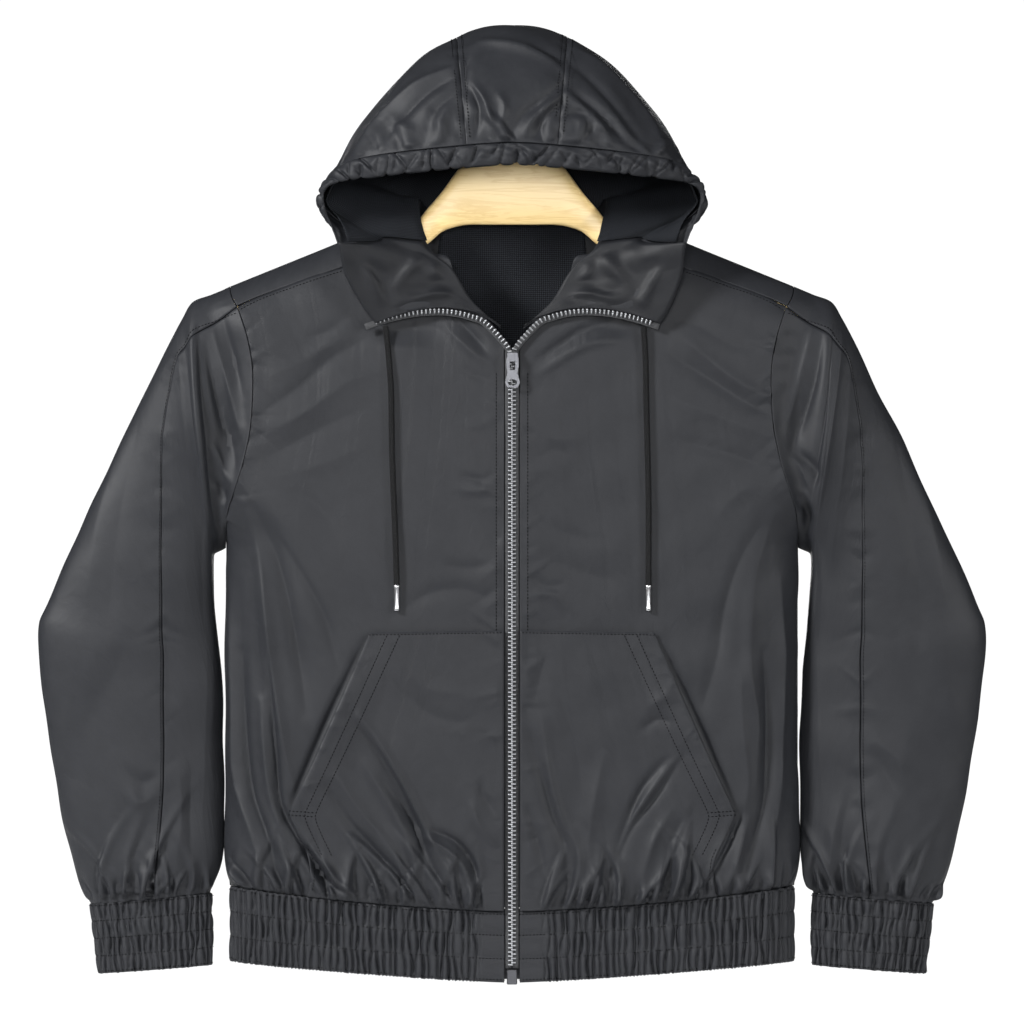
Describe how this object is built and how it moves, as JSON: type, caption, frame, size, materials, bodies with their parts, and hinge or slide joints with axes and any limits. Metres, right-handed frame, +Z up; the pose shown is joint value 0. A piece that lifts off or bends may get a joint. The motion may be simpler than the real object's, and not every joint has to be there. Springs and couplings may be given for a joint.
{
  "type": "hooded windbreaker jacket on a hanger",
  "caption": "Hooded zip-front windbreaker jacket hung on a wooden hanger, with gathered cuffs and hem band, slanted pockets, mesh-lined hood and drawcord.",
  "frame": {"origin": "inner crown of the hanger's hook, where a rail holds it", "axes": "+Z up, front of the jacket toward -Y, wearer's left toward +X"},
  "size_m": [0.8138, 0.1349, 0.8229],
  "materials": {
    "shell_cloth": "charcoal fine-twill nylon with a soft sheen",
    "mesh_lining": "black open knitted mesh",
    "zip_tape": "black zip tape with coil teeth",
    "cord_braid": "black round braid with a grey fleck",
    "dark_metal": "dark polished zip metal",
    "pale_wood": "pale pine, satin lacquer",
    "bright_steel": "bright steel wire"
  },
  "bodies": {
    "jacket": {"aglet_left": "dark_metal", "aglet_right": "dark_metal", "back": "shell_cloth", "back_lining": "mesh_lining", "collar_facing_left": "shell_cloth", "collar_facing_right": "shell_cloth", "cuff_left": "shell_cloth", "cuff_right": "shell_cloth", "drawcord_left": "cord_braid", "drawcord_right": "cord_braid", "front_left": "shell_cloth", "front_right": "shell_cloth", "hanger": "pale_wood", "hanger_hook": "bright_steel", "hem_back": "shell_cloth", "hem_front_left": "shell_cloth", "hem_front_right": "shell_cloth", "hood_brim": "shell_cloth", "hood_centre": "shell_cloth", "hood_left": "shell_cloth", "hood_lining_centre": "mesh_lining", "hood_lining_left": "mesh_lining", "hood_lining_right": "mesh_lining", "hood_right": "shell_cloth", "pocket_left": "shell_cloth", "pocket_right": "shell_cloth", "sleeve_back_left": "shell_cloth", "sleeve_back_right": "shell_cloth", "sleeve_front_left": "shell_cloth", "sleeve_front_right": "shell_cloth", "zip_box": "dark_metal", "zip_left": "zip_tape", "zip_right": "zip_tape", "zip_slider": "dark_metal"},
    "pull_tab": {"zip_pull_tab": "dark_metal"}
  },
  "joints": [
    {"name": "pull_tab_swing", "type": "hinge", "parent": "jacket", "child": "pull_tab", "pos_m": [0.0004, -0.0427, -0.2486], "axis": [-1, 0, 0], "range_deg": [0, 150]}
  ]
}
